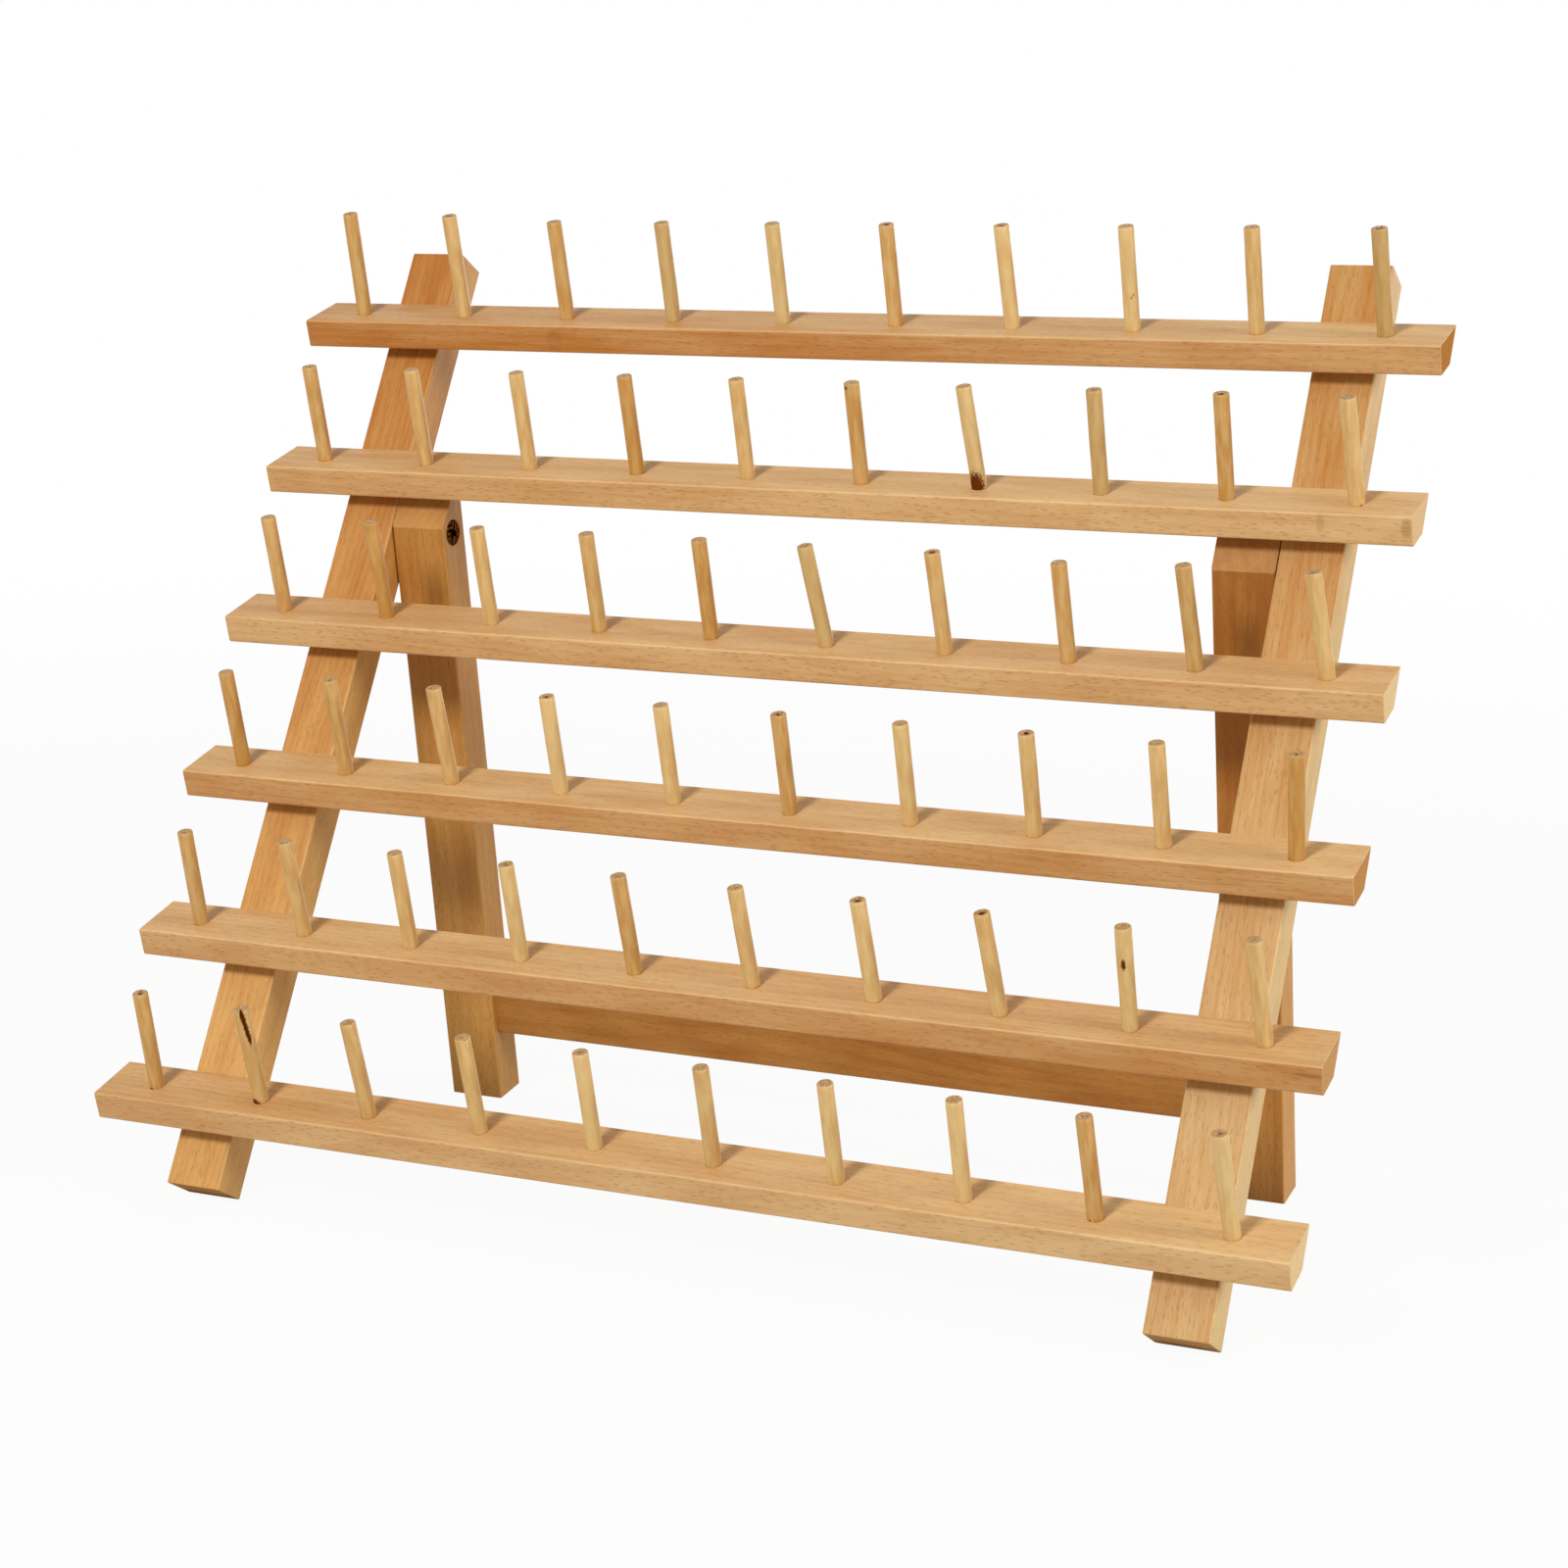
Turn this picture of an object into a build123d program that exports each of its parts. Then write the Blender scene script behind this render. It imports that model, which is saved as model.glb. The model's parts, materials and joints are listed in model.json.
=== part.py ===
from build123d import *
from math import cos, radians, sin, tan
import os

# A folding thread rack of beech: six rails of pegs screwed to two leaning uprights, which a
# hinged stand holds up from behind. Millimetres and degrees; +Z is up and the front faces -Y.
# Two more directions follow the leaning frame: w runs back from the front faces of the uprights,
# and v runs up along them from the back edge of the top rail's top face.

# The stance
lean_angle = 29.6
opening_angle = 38.6

# Rails: flat strips with a bevelled back, so that their tops slope when the bevel lies on the uprights
rail_count = 6
rail_length = 400.0
rail_width = 20.5
rail_thickness = 9.5
rail_bevel_angle = 45.0
rail_pitch = 56.0
rail_back_round = 0.4

# Pegs: plain dowels glued into blind holes, square to the sloping tops, with their hidden ends relieved
pegs_per_rail = 10
peg_radius = 2.5
peg_exposed = 33.6
peg_buried = 8.0
peg_setback = 9.0
first_peg_inset = 19.0
peg_tip_chamfer = 0.4
peg_hole_gap = 0.05
peg_end_relief = 0.2

# Pegs that stand crooked, as rail and peg numbers from 1 and degrees of lean to the right
crooked_pegs = {
    (1, 1): 1.5,
    (1, 7): -1.6,
    (1, 10): -1.4,
    (2, 7): -4.1,
    (2, 10): -2.9,
    (3, 6): -6.3,
    (3, 7): -2.2,
    (3, 8): -1.2,
    (3, 9): -3.4,
    (3, 10): -4.8,
    (4, 3): -2.0,
    (4, 10): 2.3,
    (5, 1): 1.8,
    (5, 2): -1.4,
    (5, 5): -1.7,
    (5, 6): -2.8,
    (5, 7): -3.0,
    (5, 8): -4.8,
    (5, 10): -2.9,
    (6, 1): 2.2,
    (6, 2): -1.2,
    (6, 3): -2.4,
    (6, 4): -1.0,
    (6, 9): -1.8,
    (6, 10): -3.4,
}

# Pegs that stand taller or shorter than the rest, by the same numbers, as shares of the exposed length
peg_height_shares = {
    (1, 1): 1.07,
    (1, 2): 1.055,
    (3, 8): 0.96,
    (6, 1): 1.035,
}

# Uprights
upright_width = 20.0
upright_thickness = 14.0
upright_above_rails = 20.0
upright_below_rails = 37.5
left_upright_inset = 26.5
right_upright_inset = 22.5

# Rear stand: two legs that swing beside the uprights, and the stretcher between them. The open legs
# bear on the rail with the index below, counted from 0 at the top
leg_width = 20.0
leg_thickness = 14.0
leg_side_gap = 0.3
leg_tip_width = 1.0
stop_rail_index = 1
stop_bearing = 5.7
stop_gap = 0.2
folded_gap = 0.5
stretcher_width = 20.5
stretcher_thickness = 9.5
stretcher_above_foot = 25.0

# Edges of all the bars
edge_round = 0.8
end_round = 0.35

# All the screws are countersunk and cross-headed, with this angle across their heads' cones
screw_head_angle = 90.0

# Pivot screws: through the legs into the uprights, with their heads level with the legs' inner sides
pivot_head_radius = 4.4
pivot_head_sink = 0.1
pivot_head_gap = 0.15
pivot_shank_radius = 2.25
pivot_running_gap = 0.08
pivot_screw_grip = 14.5
pivot_screw_point = 4.0
pivot_recess_span = 5.0
pivot_recess_slot = 1.1
pivot_recess_depth = 1.5

# Rail screws: from behind the uprights into the rails' bevels
rail_screw_head_radius = 3.5
rail_screw_shank_radius = 1.75
rail_screw_grip = 6.2
rail_screw_point = 2.5
rail_screw_drop = 9.5
rail_screw_sink = 0.2
rail_screw_recess_span = 3.6
rail_screw_recess_slot = 0.8
rail_screw_recess_depth = 1.0

# Dowels inside the stretcher's two joints
dowel_radius = 3.0
dowels_per_joint = 2
dowel_spacing = 10.0
dowel_in_leg = 12.0
dowel_in_stretcher = 15.0
dowel_chamfer = 0.5

# Fits shared by screws and dowels in wood
wood_fit_gap = 0.05
hole_end_room = 0.5
cut_overrun = 1.0

sin_lean = sin(radians(lean_angle))
cos_lean = cos(radians(lean_angle))
sin_open = sin(radians(opening_angle))
cos_open = cos(radians(opening_angle))
sin_bevel = sin(radians(rail_bevel_angle))
cos_bevel = cos(radians(rail_bevel_angle))


def back_of(w, v):
    """How far back the step (w, v) in the leaning frame goes."""
    return w * cos_lean + v * sin_lean


def rise_of(w, v):
    """How far up the step (w, v) in the leaning frame goes."""
    return v * cos_lean - w * sin_lean


def peg_height(rail, peg):
    """How far one peg stands out of its rail."""
    return peg_exposed * peg_height_shares.get((rail + 1, peg + 1), 1)


# Frame levels, measured along v
upright_top_v = upright_above_rails
upright_bottom_v = -(rail_count - 1) * rail_pitch - upright_below_rails

# The frame stands so that the rounded back edges of the uprights' feet touch Z = 0
foot_w = upright_thickness - end_round
foot_v = upright_bottom_v + end_round
frame_z = end_round - rise_of(foot_w, foot_v)

# Corners of a rail's section as (w, v) from its top back edge
rail_front_w = -rail_width * cos_bevel
rail_front_v = -rail_width * sin_bevel
rail_lip_w = rail_front_w + rail_thickness * sin_bevel
rail_lip_v = rail_front_v - rail_thickness * cos_bevel
rail_bevel_height = rail_thickness / cos_bevel

# Where a peg meets its rail, and the way it points, as (w, v)
peg_seat_w = rail_front_w + peg_setback * cos_bevel
peg_seat_v = rail_front_v + peg_setback * sin_bevel
peg_pitch = (rail_length - 2 * first_peg_inset) / (pegs_per_rail - 1)

# The rack is centred on Y = 0 between its lowest pegs' tips and the tops of its uprights
lowest_wall = max(peg_height(rail_count - 1, peg) for peg in range(pegs_per_rail)) - peg_tip_chamfer
lowest_tip_w = peg_seat_w - lowest_wall * sin_bevel
lowest_tip_v = peg_seat_v + lowest_wall * cos_bevel - (rail_count - 1) * rail_pitch
front_reach = back_of(lowest_tip_w, lowest_tip_v) - peg_radius * rise_of(-sin_bevel, cos_bevel)
back_reach = back_of(upright_thickness - end_round, upright_top_v - end_round) + end_round
frame_y = -(front_reach + back_reach) / 2

# The pivot runs through the middle of the uprights, low enough for the legs' heads to bear on a rail
pivot_w = upright_thickness / 2
leg_front_depth = pivot_w - folded_gap
leg_back_depth = leg_thickness - leg_front_depth
tip_depth = leg_back_depth - leg_tip_width
leg_head = (tip_depth * cos_open + pivot_w - stop_gap) / sin_open
stop_rail_v = -stop_rail_index * rail_pitch
bearing_top_v = stop_rail_v - rail_bevel_height + stop_bearing
pivot_v = bearing_top_v - leg_head * cos_open - tip_depth * sin_open

# Down and back along an opened leg, as steps of (w, v), and the reach of its front edge to the floor
leg_down = (sin_open, -cos_open)
leg_back = (cos_open, sin_open)
foot_edge_rise = frame_z + rise_of(pivot_w, pivot_v) - end_round
foot_edge_rise -= (leg_front_depth - end_round) * rise_of(*leg_back)
leg_reach = end_round - foot_edge_rise / rise_of(*leg_down)

# Places along X
left_upright_x = left_upright_inset + upright_width / 2 - rail_length / 2
right_upright_x = rail_length / 2 - right_upright_inset - upright_width / 2
leg_offset = upright_width / 2 + leg_side_gap + leg_width / 2
left_leg_x = left_upright_x + leg_offset
right_leg_x = right_upright_x - leg_offset
left_leg_inner_x = left_leg_x + leg_width / 2
right_leg_inner_x = right_leg_x - leg_width / 2

# The screws' lengths over all, and the mouths of their countersinks
screw_head_slope = tan(radians(screw_head_angle / 2))
pivot_screw_length = leg_width - pivot_head_sink + leg_side_gap + pivot_screw_grip
pivot_mouth_radius = pivot_head_radius + pivot_head_sink * screw_head_slope + pivot_head_gap
rail_screw_length = upright_thickness - rail_screw_sink + rail_screw_grip
rail_screw_mouth_radius = rail_screw_head_radius + rail_screw_sink * screw_head_slope + wood_fit_gap


def rack_point(x, w, v):
    """Point at x, w behind the uprights' front faces and v above the top rail's back edge."""
    return Vector(x, frame_y + back_of(w, v), frame_z + rise_of(w, v))


def rack_direction(w, v):
    """Direction of the step (w, v) in the leaning frame."""
    return Vector(0, back_of(w, v), rise_of(w, v))


def side_plane(x):
    """Plane across the rack at x, with w and v as its own axes."""
    return Plane(origin=rack_point(x, 0, 0), x_dir=rack_direction(1, 0), z_dir=(1, 0, 0))


def leg_point(x, down, back):
    """Point at x on an opened leg, down from the pivot and back from the leg's front face."""
    depth = back - leg_front_depth
    w = pivot_w + down * leg_down[0] + depth * leg_back[0]
    v = pivot_v + down * leg_down[1] + depth * leg_back[1]
    return rack_point(x, w, v)


def peg_plane(rail, peg):
    """Plane where a peg stands on its rail's top, facing along the peg."""
    x = first_peg_inset + peg * peg_pitch - rail_length / 2
    seat = rack_point(x, peg_seat_w, peg_seat_v - rail * rail_pitch)
    lean = radians(crooked_pegs.get((rail + 1, peg + 1), 0))
    up = rack_direction(-sin_bevel, cos_bevel) * cos(lean) + Vector(1, 0, 0) * sin(lean)
    return Plane(origin=seat, x_dir=rack_direction(cos_bevel, sin_bevel), z_dir=up)


def peg_planes(rail):
    """Planes of all the pegs on one rail."""
    return [peg_plane(rail, peg) for peg in range(pegs_per_rail)]


def rail_screw_plane(x, rail, w):
    """Plane facing back at depth w, on the axis of the screw that holds a rail to an upright."""
    origin = rack_point(x, w, -rail * rail_pitch - rail_screw_drop)
    return Plane(origin=origin, x_dir=(1, 0, 0), z_dir=rack_direction(1, 0))


def pivot_plane(x, inward):
    """Plane across the pivot at x, facing along X towards the middle of the rack."""
    return Plane(origin=rack_point(x, pivot_w, pivot_v), x_dir=rack_direction(1, 0), z_dir=(inward, 0, 0))


def stretcher_plane(x, facing):
    """Plane across the stretcher's centre line at x, facing along X."""
    down = leg_reach - stretcher_above_foot - stretcher_width / 2
    centre = leg_point(x, down, leg_thickness / 2)
    return Plane(origin=centre, x_dir=rack_direction(*leg_back), z_dir=(facing, 0, 0))


def make_rail(rail):
    """One rail: a strip with a bevelled back, drilled for its pegs and screws."""
    top = -rail * rail_pitch
    with BuildPart() as bar:
        with BuildSketch(side_plane(-rail_length / 2)) as section:
            with BuildLine():
                Polyline(
                    (0, top),
                    (rail_front_w, top + rail_front_v),
                    (rail_lip_w, top + rail_lip_v),
                    (0, top - rail_bevel_height),
                    close=True,
                )
            make_face()
            front_corners = section.vertices().sort_by(Axis.X)[:2]
            back_corners = section.vertices().sort_by(Axis.X)[2:]
            fillet(front_corners, radius=edge_round)
            fillet(back_corners, radius=rail_back_round)
        extrude(amount=rail_length)
        fillet(bar.faces().filter_by(Plane.YZ).edges(), radius=end_round)
        with BuildSketch(*[plane.offset(cut_overrun) for plane in peg_planes(rail)]):
            Circle(peg_radius + peg_hole_gap)
        extrude(amount=-cut_overrun - peg_buried, mode=Mode.SUBTRACT)
        with Locations(*[rail_screw_plane(x, rail, 0) for x in (left_upright_x, right_upright_x)]):
            Hole(radius=rail_screw_shank_radius + wood_fit_gap, depth=rail_screw_grip + hole_end_room)
    return bar


def make_pegs(rail):
    """The row of pegs on one rail, each with a chamfered tip and its lower end in its hole."""
    with BuildPart() as pegs:
        for peg, plane in enumerate(peg_planes(rail)):
            with BuildSketch(plane):
                Circle(peg_radius)
            extrude(amount=peg_height(rail, peg))
        tips = pegs.edges().filter_by(GeomType.CIRCLE).sort_by(Axis.Z)[-pegs_per_rail:]
        chamfer(tips, length=peg_tip_chamfer)
        with BuildSketch(*peg_planes(rail)):
            Circle(peg_radius - peg_end_relief)
        extrude(amount=-peg_buried)
    return pegs


def make_upright(x, inward):
    """One upright: a rounded bar with countersunk holes from behind and the pivot's hole inside."""
    foot = Plane(
        origin=rack_point(x, upright_thickness / 2, upright_bottom_v),
        x_dir=(1, 0, 0),
        z_dir=rack_direction(0, 1),
    )
    with BuildPart() as bar:
        with BuildSketch(foot):
            RectangleRounded(upright_width, upright_thickness, edge_round)
        extrude(amount=upright_top_v - upright_bottom_v)
        fillet(bar.faces().filter_by(foot).edges(), radius=end_round)
        with Locations(*[rail_screw_plane(x, rail, upright_thickness) for rail in range(rail_count)]):
            CounterSinkHole(
                radius=rail_screw_shank_radius + wood_fit_gap,
                counter_sink_radius=rail_screw_mouth_radius,
                counter_sink_angle=screw_head_angle,
            )
        with Locations(pivot_plane(x + inward * upright_width / 2, inward)):
            Hole(radius=pivot_shank_radius + wood_fit_gap, depth=pivot_screw_grip + hole_end_room)
    return bar


def make_leg(x, inward):
    """One rear leg: a rounded bar whose head is cut flat to bear on the back of a rail."""
    foot = Plane(
        origin=leg_point(x, leg_reach, leg_thickness / 2),
        x_dir=(1, 0, 0),
        z_dir=rack_direction(-leg_down[0], -leg_down[1]),
    )
    stop = Plane(origin=rack_point(x, stop_gap, 0), x_dir=(1, 0, 0), z_dir=rack_direction(1, 0))
    inner_x = x + inward * leg_width / 2
    with BuildPart() as bar:
        with BuildSketch(foot):
            RectangleRounded(leg_width, leg_thickness, edge_round)
        extrude(amount=leg_reach + leg_head)
        fillet(bar.faces().sort_by(Axis.Z)[0].edges(), radius=end_round)
        split(bisect_by=stop, keep=Keep.TOP)
        with Locations(pivot_plane(inner_x, inward)):
            CounterSinkHole(
                radius=pivot_shank_radius + pivot_running_gap,
                counter_sink_radius=pivot_mouth_radius,
                counter_sink_angle=screw_head_angle,
            )
        with BuildSketch(stretcher_plane(inner_x, inward)):
            with GridLocations(0, dowel_spacing, 1, dowels_per_joint):
                Circle(dowel_radius + wood_fit_gap)
        extrude(amount=-dowel_in_leg - hole_end_room, mode=Mode.SUBTRACT)
    return bar


def make_stretcher():
    """The stretcher: a rounded bar between the legs, drilled at each end for its dowels."""
    with BuildPart() as bar:
        with BuildSketch(stretcher_plane(left_leg_inner_x, 1)):
            RectangleRounded(stretcher_thickness, stretcher_width, edge_round)
        extrude(amount=right_leg_inner_x - left_leg_inner_x)
        with BuildSketch(stretcher_plane(left_leg_inner_x, 1), stretcher_plane(right_leg_inner_x, -1)):
            with GridLocations(0, dowel_spacing, 1, dowels_per_joint):
                Circle(dowel_radius + wood_fit_gap)
        extrude(amount=dowel_in_stretcher + hole_end_room, mode=Mode.SUBTRACT)
    return bar


def make_dowels(x, inward):
    """The dowels of one stretcher joint, half in the leg and half in the stretcher."""
    with BuildPart() as dowels:
        with BuildSketch(stretcher_plane(x, inward)):
            with GridLocations(0, dowel_spacing, 1, dowels_per_joint):
                Circle(dowel_radius)
        extrude(amount=dowel_in_stretcher)
        with BuildSketch(stretcher_plane(x, inward)):
            with GridLocations(0, dowel_spacing, 1, dowels_per_joint):
                Circle(dowel_radius)
        extrude(amount=-dowel_in_leg)
        ends = dowels.faces().filter_by(Plane.YZ).edges()
        chamfer(ends, length=dowel_chamfer)
    return dowels


def make_screw(head_radius, shank_radius, length, point, recess):
    """A countersunk screw standing on its point along Z, with the flat of its head at Z = 0."""
    head_height = (head_radius - shank_radius) / screw_head_slope
    span, slot, depth = recess
    with BuildPart() as screw:
        with BuildSketch(Plane.XZ):
            with BuildLine():
                Polyline(
                    (0, -length),
                    (shank_radius, point - length),
                    (shank_radius, -head_height),
                    (head_radius, 0),
                    (0, 0),
                    close=True,
                )
            make_face()
        revolve(axis=Axis.Z)
        with BuildSketch(Plane.XY):
            Rectangle(span, slot)
            Rectangle(slot, span)
        extrude(amount=-depth, mode=Mode.SUBTRACT)
    return screw


def place_copies(piece, planes):
    """Copies of a piece that was made along Z, one on each plane."""
    with BuildPart() as group:
        with Locations(*planes):
            add(piece.part)
    return group


def save(piece, name):
    """Name one finished piece and write it to its own file."""
    piece.part.label = name
    export_step(piece.part, f"parts/{name}.step")


os.makedirs("parts", exist_ok=True)

for rail in range(rail_count):
    save(make_rail(rail), f"rail_{rail + 1}")
    save(make_pegs(rail), f"pegs_rail_{rail + 1}")

pivot_screw = make_screw(
    pivot_head_radius,
    pivot_shank_radius,
    pivot_screw_length,
    pivot_screw_point,
    (pivot_recess_span, pivot_recess_slot, pivot_recess_depth),
)
rail_screw = make_screw(
    rail_screw_head_radius,
    rail_screw_shank_radius,
    rail_screw_length,
    rail_screw_point,
    (rail_screw_recess_span, rail_screw_recess_slot, rail_screw_recess_depth),
)
sides = (
    ("left", 1, left_upright_x, left_leg_x, left_leg_inner_x),
    ("right", -1, right_upright_x, right_leg_x, right_leg_inner_x),
)
for side, inward, upright_x, leg_x, inner_x in sides:
    head_w = upright_thickness - rail_screw_sink
    screw_planes = [rail_screw_plane(upright_x, rail, head_w) for rail in range(rail_count)]
    pivot_head_plane = pivot_plane(inner_x - inward * pivot_head_sink, inward)
    save(make_upright(upright_x, inward), f"{side}_upright")
    save(place_copies(rail_screw, screw_planes), f"{side}_rail_screws")
    save(make_leg(leg_x, inward), f"{side}_rear_leg")
    save(place_copies(pivot_screw, [pivot_head_plane]), f"{side}_pivot_screw")
    save(make_dowels(inner_x, inward), f"{side}_stretcher_dowels")

save(make_stretcher(), "rear_stretcher")
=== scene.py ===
import json
import math
import random

import bpy
from mathutils import Euler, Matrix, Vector, noise


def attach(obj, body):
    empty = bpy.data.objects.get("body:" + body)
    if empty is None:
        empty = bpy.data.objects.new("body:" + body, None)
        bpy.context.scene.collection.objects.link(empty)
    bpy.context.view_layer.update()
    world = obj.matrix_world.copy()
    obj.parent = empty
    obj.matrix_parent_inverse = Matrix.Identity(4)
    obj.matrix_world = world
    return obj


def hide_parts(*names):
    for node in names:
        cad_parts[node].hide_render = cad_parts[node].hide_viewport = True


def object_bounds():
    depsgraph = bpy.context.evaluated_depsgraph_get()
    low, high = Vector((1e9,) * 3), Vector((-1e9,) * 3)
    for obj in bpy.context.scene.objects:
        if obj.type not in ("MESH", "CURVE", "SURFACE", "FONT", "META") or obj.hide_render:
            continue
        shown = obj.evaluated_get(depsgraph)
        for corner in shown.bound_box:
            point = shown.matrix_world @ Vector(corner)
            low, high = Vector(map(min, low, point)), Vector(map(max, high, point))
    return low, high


# A folding thread rack in beech with birch pegs, on a white studio floor. Metres and radians, unless
# a name ends in mm or deg or a comment says otherwise. The CAD nodes keep their shapes and get their
# finishes here, and the pegs are made again as hand-cut dowels that stand where the record says.

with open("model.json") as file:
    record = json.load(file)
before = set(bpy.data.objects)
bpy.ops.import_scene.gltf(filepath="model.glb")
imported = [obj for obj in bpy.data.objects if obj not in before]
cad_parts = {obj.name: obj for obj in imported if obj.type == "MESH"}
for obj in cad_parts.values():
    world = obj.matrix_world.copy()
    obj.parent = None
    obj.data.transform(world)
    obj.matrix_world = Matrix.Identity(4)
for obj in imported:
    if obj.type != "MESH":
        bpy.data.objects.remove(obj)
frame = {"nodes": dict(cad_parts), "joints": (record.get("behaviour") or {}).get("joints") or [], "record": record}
cad_low, cad_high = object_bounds()
nodes = frame["nodes"]
mounts = {mount["name"]: mount for mount in frame["record"]["mounts"]}

MM = 0.001
RAILS = range(1, 7)
PEGS = range(1, 11)
SIDES = ("left", "right")

# The camera of the photograph: a level camera to the right of the rack, looking down a little
CAMERA_PLACE = (0.4209, -0.90754, 0.32855)
CAMERA_TURN_DEG = (79.15, 0.0, 24.526)
CAMERA_LENS_MM = 73.33
CAMERA_SENSOR_MM = 36.0

# How the bars stand, read from the record: the uprights lean back, the open legs lean forward and
# the rails' tops slope forward
STRAIGHT = 1e-6
back_axis = Vector(mounts["left_upright_back"]["axis"])
lean = math.atan2(-back_axis.z, back_axis.y)
opening = math.radians(frame["joints"][0]["range_deg"][1])


def rail_top(rail):
    """A point on a rail's top and the way that top faces, from one of its straight pegs."""
    pegs = [mounts[f"rail_{rail}_peg_{peg}"] for peg in PEGS]
    straight = next(mount for mount in pegs if abs(mount["axis"][0]) < STRAIGHT)
    up = Vector(straight["axis"])
    return Vector(straight["pos_m"]) - up * straight["dims"]["length_mm"] * MM / 2, up


top_axis = rail_top(1)[1]

# The turn that brings each kind of bar into its own frame: grain along Z, front side facing -Y
RAIL_TURN = (math.atan2(top_axis.y, top_axis.z), -math.pi / 2, 0.0)
UPRIGHT_TURN = (lean, 0.0, 0.0)
LEG_TURN = (lean - opening, 0.0, 0.0)
STRETCHER_TURN = (lean - opening, -math.pi / 2, 0.0)

# Settings that many shader nodes share
ADD = {"operation": "ADD"}
SUBTRACT = {"operation": "SUBTRACT"}
MULTIPLY = {"operation": "MULTIPLY"}
DIVIDE = {"operation": "DIVIDE"}
FRACTION = {"operation": "FRACT"}
MAXIMUM = {"operation": "MAXIMUM"}
ABSOLUTE = {"operation": "ABSOLUTE"}
LENGTH = {"operation": "LENGTH"}
EASED = {"interpolation_type": "SMOOTHSTEP"}
COLOURS = {"data_type": "RGBA"}


def linear(colour):
    """An sRGB hex colour as linear red, green, blue and alpha."""
    parts = [int(colour[i:i + 2], 16) / 255 for i in (1, 3, 5)]
    return tuple(((c + 0.055) / 1.055) ** 2.4 if c > 0.04045 else c / 12.92 for c in parts) + (1.0,)


def add_node(tree, kind, settings=None, *values):
    """Adds one shader node.

    The settings are its properties, or inputs by name, and the values fill its open inputs in order.
    Each may be a number, a vector, a hex colour, or an output to link from. A node stands for its
    first open output.
    """
    made = tree.nodes.new("ShaderNode" + kind)
    given = dict(settings or {})
    for key in [key for key in given if hasattr(made, key)]:
        setattr(made, key, given.pop(key))
    sockets = [(made.inputs[key], value) for key, value in given.items()]
    sockets += zip([socket for socket in made.inputs if socket.enabled], values)
    for socket, value in sockets:
        if isinstance(value, bpy.types.Node):
            value = next(output for output in value.outputs if output.enabled)
        if isinstance(value, bpy.types.NodeSocket):
            tree.links.new(value, socket)
        else:
            socket.default_value = linear(value) if isinstance(value, str) else value
    return made


def new_material(name):
    """An empty node material."""
    material = bpy.data.materials.new(name)
    material.use_nodes = True
    material.node_tree.nodes.clear()
    return material, material.node_tree


def stretched(tree, place, across_mm, along_mm):
    """Coordinates that count grains of this width and length, with the grain along Z."""
    counts = (1 / (across_mm * MM), 1 / (across_mm * MM), 1 / (along_mm * MM))
    return add_node(tree, "VectorMath", MULTIPLY, place, counts)


def grain_noise(tree, place, size_mm, detail=2.0, roughness=0.5):
    """Noise in lumps of a width and length in millimetres, with the grain along Z."""
    settings = {"Scale": 1.0, "Detail": detail, "Roughness": roughness}
    return add_node(tree, "TexNoise", {**settings, "Vector": stretched(tree, place, *size_mm)})


def finish(node, material):
    """Gives one CAD node its material."""
    if not nodes[node].material_slots:
        nodes[node].data.materials.append(material)
    for slot in nodes[node].material_slots:
        slot.link = "OBJECT"
        slot.material = material


# Beech, planed and sanded, with a thin clear finish: tan to orange-brown from bar to bar, with soft
# growth rings, fine fibres, and the short dark flecks that tell it from other pale woods. Each bar's
# front has a warmth of its own, and the long edges get a painted highlight, paler where light
# catches their rounding
BEECH = {"pale": "#dcb57e", "deep": "#b06c20", "fleck": "#85501f", "edge": "#e6c898"}
RED_BEECH = {"pale": "#dcac62", "deep": "#aa6410", "fleck": "#85501f", "edge": "#e3c088"}
YELLOW_BEECH = {"pale": "#d4b47a", "deep": "#b06e10", "fleck": "#85501f", "edge": "#e6c898"}
# The rear stand's wood is deeper and more orange, partly its own tone and partly painted shade, as the front frame
# shades it
STAND_BEECH_WITH_SHADE = {"pale": "#d09a4c", "deep": "#9a5c12", "fleck": "#74410f", "edge": "#d6a464"}
JOINT_BIRCH = {"pale": "#dfc596", "deep": "#c39455", "fleck": "#a87b44", "edge": "#e3cca2"}

# Width and length of the figure's parts. The fibres, flecks and pores are drawn coarser than the
# real ones, so that they show
WOBBLE_MM = (26.0, 170.0)
FIBRE_MM = (0.42, 16.0)
FLECK_MM = (0.9, 4.6)
STREAK_MM = (0.5, 5.0)
MOTTLE_MM = (9.0, 45.0)
PORE_MM = (0.6, 6.0)
BEECH_BUMP_MM = 0.05
BEECH_BUMP_STRENGTH = 0.35

# Growth rings: their width, how many rings' width they wander, and where in each ring the darker
# latewood starts, is full and ends
RING_MM = 2.8
WOBBLE_RINGS = 5.0
LATEWOOD_START = 0.3
LATEWOOD_FULL = 0.9
LATEWOOD_END = 0.92

# Which values of each pattern count, and how much warmth or darkness it gives between them
LATEWOOD_WARMTH = 0.1
FIBRE_SPAN = (0.3, 0.75)
FIBRE_WARMTH = (-0.07, 0.09)
MOTTLE_SPAN = (0.3, 0.7)
MOTTLE_WARMTH = (-0.13, 0.13)
STREAK_SPAN = (0.56, 0.72)
STREAK_DARKNESS = 0.2
FLECK_SPAN = (0.14, 0.34)
FLECK_DARKNESS = 0.36
SIDE_DARKNESS = (0.75, 1.0)
PORE_SPAN = (0.45, 0.75)
PORE_DARKNESS = 0.22

# A mark starts to fade at a share of its reach and is gone at its end, and the fibres show in it.
# Dark parts lie lower than the fibres, and edges get a faint painted highlight, paler where light catches them
MARK_FADE = (0.45, 1.0)
FIBRES_IN_MARK_SPAN = (0.3, 0.6)
FIBRES_IN_MARK = (0.6, 1.0)
DARK_DIP = 1.4
EDGE_HIGHLIGHT_SHARE = 0.14

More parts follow.
